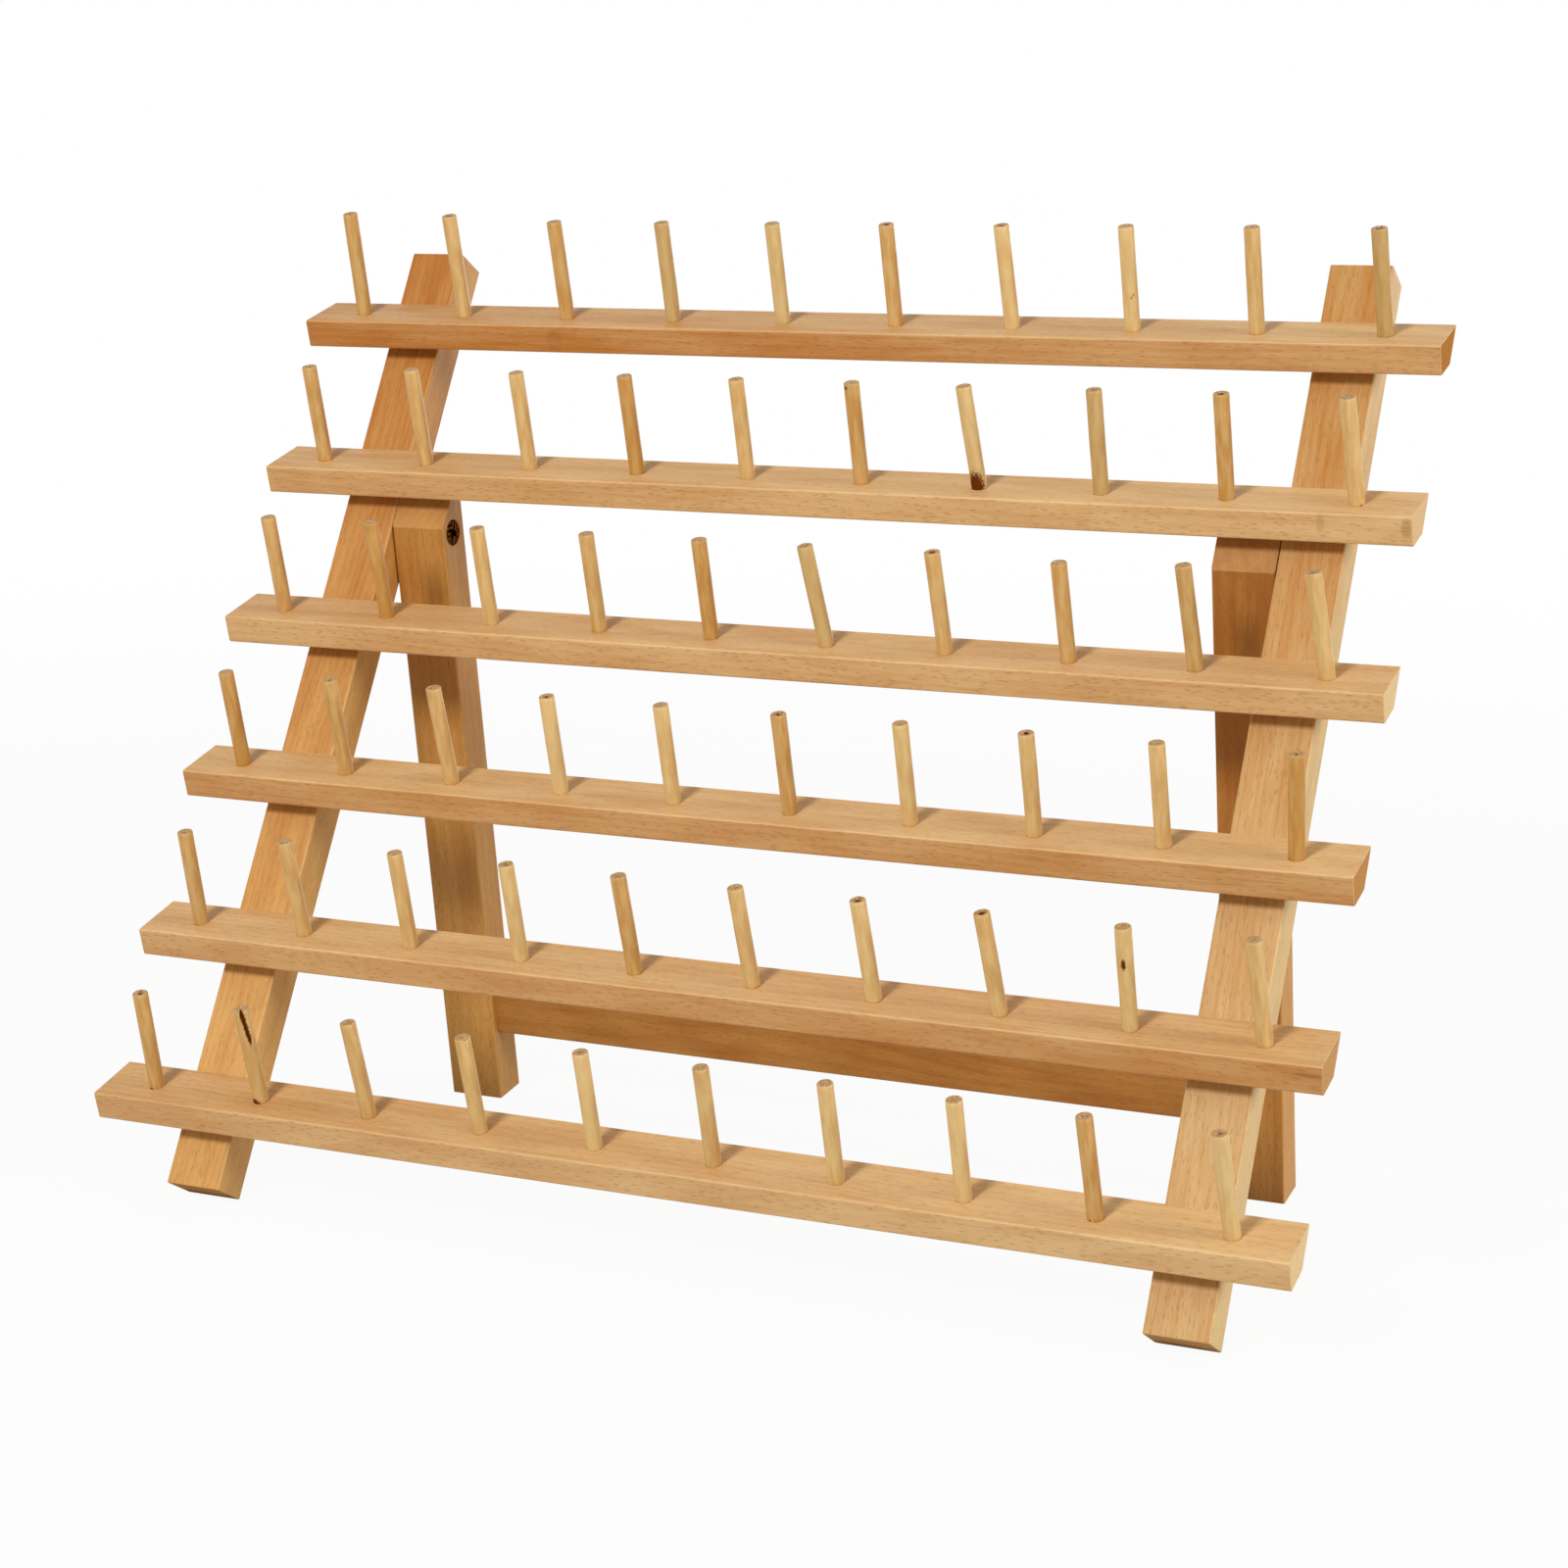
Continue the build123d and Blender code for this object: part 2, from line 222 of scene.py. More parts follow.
# Parts of a direction that tell a bar's front, its back, its edges and its sawn ends
FRONT_FACING = (-0.95, -0.6)
BACK_FACING = (0.2, 0.4)
EDGE_FACING = (0.8, 0.96)
SAWN_FACING = (0.75, 0.95)

# A planed side has a slight sheen, and a sawn end, which is open grain, has none
WOOD_IOR = 1.45
GLOSS = 0.5
ROUGHNESS_SPAN = (0.2, 0.8)
BEECH_ROUGHNESS = (0.5, 0.64)
SAWN_ROUGHNESS = 0.85


def bar_box(node, turn):
    """Lowest and highest corner of a bar in its own frame."""
    spin = Euler(turn).to_matrix()
    points = [spin @ vertex.co for vertex in nodes[node].data.vertices]
    return [Vector([pick(point[i] for point in points) for i in range(3)]) for pick in (min, max)]


def growth_rings(tree, log):
    """Latewood in rings round the log's heart, each darker towards its outer edge."""
    wobble = grain_noise(tree, log, WOBBLE_MM, detail=1.0)
    flat = add_node(tree, "VectorMath", MULTIPLY, log, (1, 1, 0))
    radius = add_node(tree, "VectorMath", LENGTH, flat)
    turns = add_node(tree, "Math", DIVIDE, radius, RING_MM * MM)
    wander = add_node(tree, "Math", MULTIPLY, wobble, WOBBLE_RINGS)
    ring = add_node(tree, "Math", FRACTION, add_node(tree, "Math", ADD, turns, wander))
    rising = add_node(tree, "MapRange", EASED, ring, LATEWOOD_START, LATEWOOD_FULL, 0.0, 1.0)
    ending = add_node(tree, "MapRange", EASED, ring, LATEWOOD_END, 1.0, 1.0, 0.0)
    return add_node(tree, "Math", MULTIPLY, rising, ending)


def spot(tree, place, centre, reach):
    """A round or oval patch about a centre, one inside and fading to zero at its reach."""
    apart = add_node(tree, "VectorMath", SUBTRACT, place, centre)
    distance = add_node(tree, "VectorMath", LENGTH, add_node(tree, "VectorMath", DIVIDE, apart, reach))
    return add_node(tree, "MapRange", EASED, distance, *MARK_FADE, 1.0, 0.0)


def sides_of_bar(tree, facing):
    """How much each point belongs to the bar's front, to an edge with a painted highlight and to a sawn end."""
    parts = add_node(tree, "SeparateXYZ", None, facing).outputs
    sizes = add_node(tree, "SeparateXYZ", None, add_node(tree, "VectorMath", ABSOLUTE, facing)).outputs
    front = add_node(tree, "MapRange", EASED, parts["Y"], *FRONT_FACING, 1.0, 0.0)
    largest = add_node(tree, "Math", MAXIMUM, sizes["X"], sizes["Y"])
    largest = add_node(tree, "Math", MAXIMUM, largest, sizes["Z"])
    edge = add_node(tree, "MapRange", EASED, largest, *EDGE_FACING, 1.0, 0.0)
    away = add_node(tree, "MapRange", EASED, parts["Y"], *BACK_FACING, 1.0, 0.0)
    sawn = add_node(tree, "MapRange", EASED, sizes["Z"], *SAWN_FACING, 0.0, 1.0)
    return front, add_node(tree, "Math", MULTIPLY, edge, away), sawn


def sawn_wood(wood, node, turn, palette, tones, log_place, slope, marks=()):
    """Wood for one bar, cut from a log whose heart lies off the bar and runs at a small slope to it.

    The tones are the warmth at the bar's start and end, how much warmer its front is, and the warmth
    of its sawn ends. Each mark is a place along and down the front in mm from the start and the top,
    half its length and height in mm, and its strength.
    """
    material, tree = new_material(f"{wood}_{node}")
    start_tone, end_tone, front_tone, sawn_tone = tones
    low, high = bar_box(node, turn)
    source = add_node(tree, "TexCoord").outputs
    place = add_node(tree, "Mapping", {"Rotation": turn}, source["Object"])
    facing = add_node(tree, "Mapping", {"vector_type": "NORMAL", "Rotation": turn}, source["Normal"])
    log = add_node(tree, "Mapping", {"Rotation": slope, "Location": log_place}, place)
    front, edge, sawn = sides_of_bar(tree, facing)

    # Warmth, from pale to deep
    fibres = grain_noise(tree, log, FIBRE_MM, detail=3.0, roughness=0.6)
    mottle = grain_noise(tree, log, MOTTLE_MM)
    along = add_node(tree, "SeparateXYZ", None, place).outputs["Z"]
    warmth = add_node(tree, "MapRange", EASED, along, low.z, high.z, start_tone, end_tone)
    for more in (
        add_node(tree, "Math", MULTIPLY, front, front_tone),
        add_node(tree, "Math", MULTIPLY, growth_rings(tree, log), LATEWOOD_WARMTH),
        add_node(tree, "MapRange", EASED, fibres, *FIBRE_SPAN, *FIBRE_WARMTH),
        add_node(tree, "MapRange", EASED, mottle, *MOTTLE_SPAN, *MOTTLE_WARMTH),
    ):
        warmth = add_node(tree, "Math", ADD, warmth, more)
    colour = add_node(tree, "Mix", COLOURS, warmth, palette["pale"], palette["deep"])

    # Darkness: the short flecks, soft streaks and the marks of this bar
    streaks = grain_noise(tree, log, STREAK_MM, detail=1.0)
    streaks = add_node(tree, "MapRange", EASED, streaks, *STREAK_SPAN, 0.0, 1.0)
    cells = add_node(tree, "TexVoronoi", {"Scale": 1.0, "Vector": stretched(tree, log, *FLECK_MM)})
    flecks = add_node(tree, "MapRange", EASED, cells, *FLECK_SPAN, 1.0, 0.0)
    flecks = add_node(tree, "Math", MULTIPLY, flecks, FLECK_DARKNESS)
    streaks = add_node(tree, "Math", MULTIPLY, streaks, STREAK_DARKNESS)
    side_share = add_node(tree, "MapRange", EASED, front, 0.0, 1.0, *SIDE_DARKNESS)
    dark = add_node(tree, "Math", MULTIPLY, add_node(tree, "Math", MAXIMUM, flecks, streaks), side_share)
    for along_mm, down_mm, half_length_mm, half_height_mm, strength in marks:
        centre = (low.x + down_mm * MM, low.y, low.z + along_mm * MM)
        reach = (half_height_mm * MM, half_height_mm * MM, half_length_mm * MM)
        mark = add_node(tree, "Math", MULTIPLY, spot(tree, place, centre, reach), strength)
        grained = add_node(tree, "MapRange", EASED, fibres, *FIBRES_IN_MARK_SPAN, *FIBRES_IN_MARK)
        dark = add_node(tree, "Math", MAXIMUM, dark, add_node(tree, "Math", MULTIPLY, mark, grained))
    colour = add_node(tree, "Mix", COLOURS, dark, colour, palette["fleck"])

    # Painted highlight on the edges, and sawn ends
    pores = grain_noise(tree, log, PORE_MM)
    pores = add_node(tree, "MapRange", EASED, pores, *PORE_SPAN, 0.0, PORE_DARKNESS)
    end_colour = add_node(tree, "Mix", COLOURS, sawn_tone, palette["edge"], palette["deep"])
    end_colour = add_node(tree, "Mix", COLOURS, pores, end_colour, palette["fleck"])
    # The edges are painted paler, as a highlight where light catches their rounding
    edge_highlight = add_node(tree, "Math", MULTIPLY, edge, EDGE_HIGHLIGHT_SHARE)
    colour = add_node(tree, "Mix", COLOURS, edge_highlight, colour, palette["edge"])
    colour = add_node(tree, "Mix", COLOURS, sawn, colour, end_colour)

    height = add_node(tree, "Math", SUBTRACT, fibres, add_node(tree, "Math", MULTIPLY, dark, DARK_DIP))
    settings = {"Strength": BEECH_BUMP_STRENGTH, "Distance": BEECH_BUMP_MM * MM, "Height": height}
    bump = add_node(tree, "Bump", settings)
    rough = add_node(tree, "MapRange", EASED, fibres, *ROUGHNESS_SPAN, *BEECH_ROUGHNESS)
    rough = add_node(tree, "Math", MAXIMUM, rough, add_node(tree, "Math", MULTIPLY, sawn, SAWN_ROUGHNESS))
    gloss = add_node(tree, "MapRange", EASED, sawn, 0.0, 1.0, GLOSS, 0.0)
    look = {
        "IOR": WOOD_IOR,
        "Base Color": colour,
        "Roughness": rough,
        "Specular IOR Level": gloss,
        "Normal": bump,
    }
    add_node(tree, "OutputMaterial", {"Surface": add_node(tree, "BsdfPrincipled", look)})
    finish(node, material)


# Warmth of each rail from the top: its left end, its right end, its front's extra and its sawn ends
RAIL_TONES = (
    (0.5, 0.14, 0.38, 0.9),
    (0.26, 0.04, 0.14, 0.15),
    (0.3, 0.2, 0.03, 0.02),
    (0.22, 0.18, 0.36, 0.75),
    (0.2, 0.32, 0.22, 0.62),
    (0.4, 0.06, -0.04, 0.02),
)

# Marks in the rails' fronts: a band on the first, a smudge and a growth mark on the second, and a
# dark line at the end of the fifth
RAIL_MARKS = {
    1: [(98.0, 5.0, 4.0, 5.5, 0.3)],
    2: [(398.0, 3.6, 2.2, 4.0, 0.5), (372.0, 3.0, 1.8, 4.6, 0.28)],
    5: [(395.5, 3.2, 6.0, 0.9, 0.6)],
}

# The other bars: how each is turned, its wood, its tones and how far across the log's heart lies.
# The uprights are paler at their feet than at their tops, as painted light and shade: more light
# from the floor at the feet, and shade under the top rail at the tops
STANDING_BARS = {
    "left_upright": (UPRIGHT_TURN, RED_BEECH, (0.0, 0.55, 0.32, 0.6), 0.05),
    "right_upright": (UPRIGHT_TURN, YELLOW_BEECH, (-0.1, 0.25, 0.52, 0.6), 0.05),
    # The rear stand's tones are partly painted shade: the stretcher's all over, and most on the right rear leg's
    # front, behind the right upright
    "left_rear_leg": (LEG_TURN, STAND_BEECH_WITH_SHADE, (0.12, 0.5, 0.12, 0.2), 0.05),
    "right_rear_leg": (LEG_TURN, STAND_BEECH_WITH_SHADE, (0.25, 0.5, 0.42, 0.3), 0.05),
    "rear_stretcher": (STRETCHER_TURN, STAND_BEECH_WITH_SHADE, (0.6, 0.7, 0.1, 0.3), 0.03),
}
RAIL_HEART_ACROSS = 0.0
JOINT_HEART_ACROSS = 0.03
JOINT_TONES = (0.3, 0.3, 0.0, 0.3)

# Where a log's heart may lie from its bar, and how far its grain may slope
HEART_ASIDE = (0.02, 0.09)
HEART_ACROSS = (-0.03, 0.03)
HEART_ALONG = (0.0, 2.0)
GRAIN_SLOPE = (-0.03, 0.03)

rng = random.Random(7)


def log_beside(across):
    """A random place of the log's heart beside a bar, and the small slope of its grain."""
    place = (rng.uniform(*HEART_ASIDE), across + rng.uniform(*HEART_ACROSS), rng.uniform(*HEART_ALONG))
    return place, (rng.uniform(*GRAIN_SLOPE), rng.uniform(*GRAIN_SLOPE), 0.0)


for rail, tones in zip(RAILS, RAIL_TONES):
    log = log_beside(RAIL_HEART_ACROSS)
    sawn_wood("beech", f"rail_{rail}", RAIL_TURN, BEECH, tones, *log, RAIL_MARKS.get(rail, ()))
for node, (turn, palette, tones, across) in STANDING_BARS.items():
    sawn_wood("beech", node, turn, palette, tones, *log_beside(across))
for side in SIDES:
    log = log_beside(JOINT_HEART_ACROSS)
    sawn_wood("birch", f"{side}_stretcher_dowels", STRETCHER_TURN, JOINT_BIRCH, JOINT_TONES, *log)


# Steel screws: the pivots' are bronzed dark brown, and the rails' are zinc plated. Small spots of the
# skin are worn duller, and painted paler, partly as wear and partly as a highlight
WEAR_AND_GLINT_MM = (0.9, 0.9)
WEAR_AND_GLINT_SPAN = (0.42, 0.7)
WEAR_ROUGHNESS_SPAN = (0.3, 0.7)
WORN_ROUGHER = 0.15


def plated_steel(name, pale, dark, rim, rough):
    """Plated steel whose skin is duller in worn spots, and paler there, partly as wear and partly as a painted
    highlight.
    """
    material, tree = new_material(name)
    wear_and_glint = grain_noise(tree, add_node(tree, "TexCoord").outputs["Object"], WEAR_AND_GLINT_MM, detail=3.0)
    worn_and_glinting = add_node(tree, "MapRange", EASED, wear_and_glint, *WEAR_AND_GLINT_SPAN, 0.0, 1.0)
    # Paler spots: partly worn plating and partly a painted highlight
    colour = add_node(tree, "Mix", COLOURS, worn_and_glinting, dark, pale)
    roughness = (rough, rough + WORN_ROUGHER)
    rougher = add_node(tree, "MapRange", EASED, wear_and_glint, *WEAR_ROUGHNESS_SPAN, *roughness)
    look = {"Metallic": 1.0, "Specular Tint": rim, "Base Color": colour, "Roughness": rougher}
    add_node(tree, "OutputMaterial", {"Surface": add_node(tree, "BsdfPrincipled", look)})
    return material


bronzed_steel = plated_steel("bronzed_steel", "#8a5f3a", "#1c0e06", "#8a7058", 0.28)
zinc_plated_steel = plated_steel("zinc_plated_steel", "#c9c6bd", "#9c9a94", "#e8e6e0", 0.3)
for side in SIDES:
    finish(f"{side}_pivot_screw", bronzed_steel)
    finish(f"{side}_rail_screws", zinc_plated_steel)


# Birch dowel, cut by machine and left bare: yellower than the beech and almost without figure, with
# soft brown blotches along it. Each peg has a shade of its own, a brown pith at its sawn top, and
# here and there a dark knot or stain. Its foot, where it meets the rail, and its split are painted
# darker as shade. Stains and painted shade have no sheen
BIRCH = {"pale": "#dfbd80", "deep": "#bb853a", "dull": "#9d8a58", "stain_and_shade": "#64300b"}
BIRCH_END = {"pale": "#cba877", "deep": "#8a6238"}
BIRCH_FIBRE_MM = (0.35, 12.0)
BIRCH_BLOTCH_MM = (1.8, 9.0)
BIRCH_SPECK_MM = (0.5, 0.5)
BIRCH_BUMP_MM = 0.05
BIRCH_BUMP_STRENGTH = 0.3
BIRCH_ROUGHNESS = (0.46, 0.6)

# Which values of each pattern count, and what they add to a peg's shade or to the edges of stains and painted
# shade
BLOTCH_SPAN = (0.3, 0.7)
BLOTCH_WARMTH = (-0.18, 0.22)
BIRCH_FIBRE_WARMTH = (-0.06, 0.1)
DULL_SHARE = 0.5
SPECK_SPAN = (0.3, 0.7)
RAGGED_SPAN = (0.2, 0.8)
RAGGED_STAIN_AND_SHADE = (-0.3, 0.3)
STAIN_AND_SHADE_SPAN = (0.25, 0.75)
STAIN_AND_SHADE_START = (0.0, 0.2)

# What each point of a peg's mesh says for its finish
PEG_VALUES = ("shade", "dull", "cut", "stain_and_shade")


def birch_dowel(name):
    """Birch whose place, tone, stains and painted shade come from the pegs' own mesh data."""
    material, tree = new_material(name)
    place = add_node(tree, "Attribute", {"attribute_name": "grain_place"}).outputs["Vector"]
    given = {key: add_node(tree, "Attribute", {"attribute_name": key}).outputs["Fac"] for key in PEG_VALUES}
    fibres = grain_noise(tree, place, BIRCH_FIBRE_MM, detail=3.0, roughness=0.6)
    blotch = grain_noise(tree, place, BIRCH_BLOTCH_MM)
    specks = grain_noise(tree, place, BIRCH_SPECK_MM)

    blotch = add_node(tree, "MapRange", EASED, blotch, *BLOTCH_SPAN, *BLOTCH_WARMTH)
    warmth = add_node(tree, "Math", ADD, given["shade"], blotch)
    lines = add_node(tree, "MapRange", EASED, fibres, *FIBRE_SPAN, *BIRCH_FIBRE_WARMTH)
    warmth = add_node(tree, "Math", ADD, warmth, lines)
    colour = add_node(tree, "Mix", COLOURS, warmth, BIRCH["pale"], BIRCH["deep"])
    dull = add_node(tree, "Math", MULTIPLY, given["dull"], DULL_SHARE)
    colour = add_node(tree, "Mix", COLOURS, dull, colour, BIRCH["dull"])
    specked = add_node(tree, "MapRange", EASED, specks, *SPECK_SPAN, 0.0, 1.0)
    end_colour = add_node(tree, "Mix", COLOURS, specked, BIRCH_END["pale"], BIRCH_END["deep"])
    colour = add_node(tree, "Mix", COLOURS, given["cut"], colour, end_colour)

    # Stains, and the painted shade at the foot and in the split, with ragged edges and no sheen
    ragged = add_node(tree, "MapRange", EASED, specks, *RAGGED_SPAN, *RAGGED_STAIN_AND_SHADE)
    ragged = add_node(tree, "Math", ADD, given["stain_and_shade"], ragged)
    ragged = add_node(tree, "MapRange", EASED, ragged, *STAIN_AND_SHADE_SPAN, 0.0, 1.0)
    begun = add_node(tree, "MapRange", EASED, given["stain_and_shade"], *STAIN_AND_SHADE_START, 0.0, 1.0)
    stained_and_shaded = add_node(tree, "Math", MULTIPLY, ragged, begun)
    colour = add_node(tree, "Mix", COLOURS, stained_and_shaded, colour, BIRCH["stain_and_shade"])

    settings = {"Strength": BIRCH_BUMP_STRENGTH, "Distance": BIRCH_BUMP_MM * MM, "Height": fibres}
    bump = add_node(tree, "Bump", settings)
    rough = add_node(tree, "MapRange", EASED, fibres, *ROUGHNESS_SPAN, *BIRCH_ROUGHNESS)
    rough = add_node(tree, "Math", MAXIMUM, rough, stained_and_shaded)
    gloss = add_node(tree, "MapRange", EASED, stained_and_shaded, 0.0, 1.0, GLOSS, 0.0)
    look = {
        "IOR": WOOD_IOR,
        "Base Color": colour,
        "Roughness": rough,
        "Specular IOR Level": gloss,
        "Normal": bump,
    }
    add_node(tree, "OutputMaterial", {"Surface": add_node(tree, "BsdfPrincipled", look)})
    return material


# The pegs, cut from dowel with slightly uneven sides and sawn tops. The chamfer's middle step rounds
# it, and is partly of the cut end's colour
PEG_RADIUS = mounts["rail_1_peg_1"]["dims"]["r_mm"] * MM
PEG_CHAMFER = 0.4 * MM
PEG_CHAMFER_MIDDLE = (0.7, 0.3, 0.35)
PEG_BURIED = 7.6 * MM
PEG_BURIED_RADIUS = 2.3 * MM
PEG_NECK = 0.5 * MM
PEG_UNEVEN = 0.06 * MM
PEG_UNEVEN_MM = (3.0, 12.0)
PEG_SAWN_FINER = 3.0
PEG_SEGMENTS = 48
PEG_STEP = 0.8 * MM
PEG_PITH_RINGS = (0.72, 0.5, 0.3, 0.0)
PEG_PITH_DEPTH = 0.7 * MM

# How dark a mark, the split's painted shade and a full pith are, and the height and darkness of the
# painted shade at the foot, where the peg meets the rail
MARK_DARKNESS = 1.3
SPLIT_SHADE = 1.6
PITH_STAIN = 1.2
FOOT_SHADE_HEIGHT = 0.45 * MM
FOOT_SHADE = 0.3

# Metres between the places that two rails' and two pegs' grain is taken from
RAIL_GRAIN_STEP = (0.31, 0.0, 0.07)
PEG_GRAIN_STEP = (0.0, 0.17, 0.05)

# Pegs that are plainly paler, warmer or darker than the rest, by rail and peg, with their shades
PALE_PEGS = {
    (1, 5), (1, 7), (1, 8), (2, 7), (4, 4), (4, 5), (4, 7), (5, 4), (5, 7), (5, 9), (6, 5), (6, 7), (6, 8),
    (6, 10),
}
WARM_PEGS = {
    (1, 1), (1, 3), (1, 6), (1, 10), (2, 1), (2, 6), (2, 9), (3, 1), (3, 4), (3, 8), (3, 9), (4, 2), (4, 6),
    (5, 1), (5, 5), (6, 1), (6, 9),
}
DARK_PEGS = {(2, 4), (3, 2), (3, 5), (4, 1), (4, 10)}
PEG_SHADES = ((PALE_PEGS, 0.0, 0.2), (WARM_PEGS, 0.6, 0.75), (DARK_PEGS, 0.85, 1.0))
OTHER_PEG_SHADES = (0.3, 0.5)

# Pegs that look grey or olive beside the others
PEG_DULL_SHARES = {
    (1, 4): 0.6, (1, 5): 0.4, (1, 10): 0.7, (2, 7): 0.3, (2, 8): 0.6, (3, 6): 0.6, (3, 9): 0.4, (6, 10): 0.3,
}
OTHER_PEG_DULL_SHARES = (0.0, 0.15)

# Pegs whose sawn top has a dark pith, or hardly any
PEG_PITH_SHARES = {
    (1, 2): 0.8, (1, 6): 0.9, (1, 7): 0.8, (1, 10): 0.9, (2, 9): 1.0, (3, 7): 1.0, (4, 4): 0.7, (4, 6): 0.8,
    (4, 8): 0.9, (5, 4): 0.6, (5, 7): 0.9, (5, 8): 1.0, (6, 1): 0.7, (6, 10): 0.6, (2, 2): 0.0, (3, 8): 0.1,
    (3, 9): 0.0, (4, 5): 0.0, (4, 10): 0.6, (5, 10): 0.0,
}
OTHER_PEG_PITH_SHARES = (0.25, 0.55)

# Dark marks on the pegs' sides: height as a share of the peg, degrees to the right of its front, and
# half the mark's height and width in mm. They are knots and stains, and the ones at the foot are
# painted shade where the hole gapes round the peg
PEG_MARKS = {
    (1, 8): [(0.34, 22, 0.6, 0.45), (0.36, 40, 0.5, 0.4)],
    (2, 6): [(0.97, -25, 1.4, 0.8)],
    (2, 7): [(0.04, 0, 7.6, 4.4)],
    (2, 10): [(0.0, 45, 0.8, 0.6)],
    (5, 9): [(0.67, 4, 2.8, 1.1)],
    (6, 1): [(0.0, -15, 0.9, 1.2)],
    (6, 2): [(0.0, -22, 3.2, 3.0)],
    (6, 9): [(0.0, -25, 1.0, 0.8)],
}

# The peg that is split from its top: degrees to the right of its front at the split's top and foot,
# how far down it runs as a share of the peg, half its width in mm and its depth as a share of the
# radius. The split is widest a little above its middle
PEG_SPLITS = {(6, 2): (32, 62, 0.36, 1.9, 0.6)}
SPLIT_TOP_WIDTH = 0.25
SPLIT_BELLY = 1.5

# The peg with a nick in its rim: degrees to the right, half the nick's turn in degrees and its depth
# in mm
PEG_NICKS = {(6, 4): (62, 22, 1.1)}


def peg_frame(rail, peg):
    """Seat, axis, two side directions and wall length of a peg, as the record's mount places it."""
    mount = mounts[f"rail_{rail}_peg_{peg}"]
    top, up = rail_top(rail)
    middle = Vector(mount["pos_m"])
    axis = Vector(mount["axis"]).normalized()
    half = (middle - top).dot(up) / axis.dot(up)
    right = (Vector((1, 0, 0)) - axis * axis.x).normalized()
    return middle - axis * half, axis, right, axis.cross(right), 2 * half


def peg_profile(wall):
    """Steps up a peg as height, radius and how much of a cut end shows there."""
    steps = [(-PEG_BURIED, 0.0, 0.0), (-PEG_BURIED, PEG_BURIED_RADIUS, 0.0)]
    steps += [(-PEG_NECK, PEG_BURIED_RADIUS, 0.0)]
    count = round(wall / PEG_STEP)
    steps += [(wall * i / count, PEG_RADIUS, 0.0) for i in range(count + 1)]
    up_share, in_share, cut_share = PEG_CHAMFER_MIDDLE
    top = wall + PEG_CHAMFER
    steps += [(wall + PEG_CHAMFER * up_share, PEG_RADIUS - PEG_CHAMFER * in_share, cut_share)]
    steps += [(top, PEG_RADIUS - PEG_CHAMFER, 1.0)]
    return steps + [(top, PEG_RADIUS * share, 1.0) for share in PEG_PITH_RINGS]


def turn_apart(angle, turn_deg):
    """How far an angle round a peg lies from a place given in degrees to the right of its front."""
    return abs((angle - math.radians(turn_deg - 90) + math.pi) % math.tau - math.pi)


def split_at(key, wall, height, angle):
    """How deep one point lies in its peg's split, from zero at the sides to one in the middle."""
    if key not in PEG_SPLITS:
        return 0.0
    top_deg, foot_deg, run, half_width_mm, _ = PEG_SPLITS[key]
    down = max(0.0, (wall - height) / (wall * run))
    if down >= 1:
        return 0.0
    turn_deg = top_deg + (foot_deg - top_deg) * down
    width_share = (SPLIT_TOP_WIDTH * (1 - down) + SPLIT_BELLY * down * (1 - down)) ** 0.5
    width = half_width_mm * MM * width_share
    return max(0.0, 1 - turn_apart(angle, turn_deg) * PEG_RADIUS / width)


def nick_at(key, radius, angle):
    """How far one point of a sawn top is sunk by the nick in its rim."""
    if key not in PEG_NICKS:
        return 0.0
    turn_deg, half_turn_deg, depth_mm = PEG_NICKS[key]
    inside = 1 - turn_apart(angle, turn_deg) / math.radians(half_turn_deg)
    return max(0.0, inside) * depth_mm * MM * radius / PEG_RADIUS


def stain_and_shade_at(key, wall, height, angle, cut):
    """How dark one point of a peg is, from its marks, the painted shade in its split and at its foot."""
    # Painted shade at the foot, where the peg meets the rail
    stain_and_shade = FOOT_SHADE * max(0.0, 1 - abs(height) / FOOT_SHADE_HEIGHT)
    for share, turn_deg, half_height_mm, half_width_mm in PEG_MARKS.get(key, ()):
        up = (height - wall * share) / (half_height_mm * MM)
        around = turn_apart(angle, turn_deg) * PEG_RADIUS / (half_width_mm * MM)
        # A knot or stain, and at the foot painted shade where the hole gapes round the peg
        stain_and_shade = max(stain_and_shade, MARK_DARKNESS * (1 - math.hypot(up, around)) if not cut else 0.0)
    # The split is painted dark, as shade inside it
    return max(stain_and_shade, SPLIT_SHADE * split_at(key, wall, height, angle))


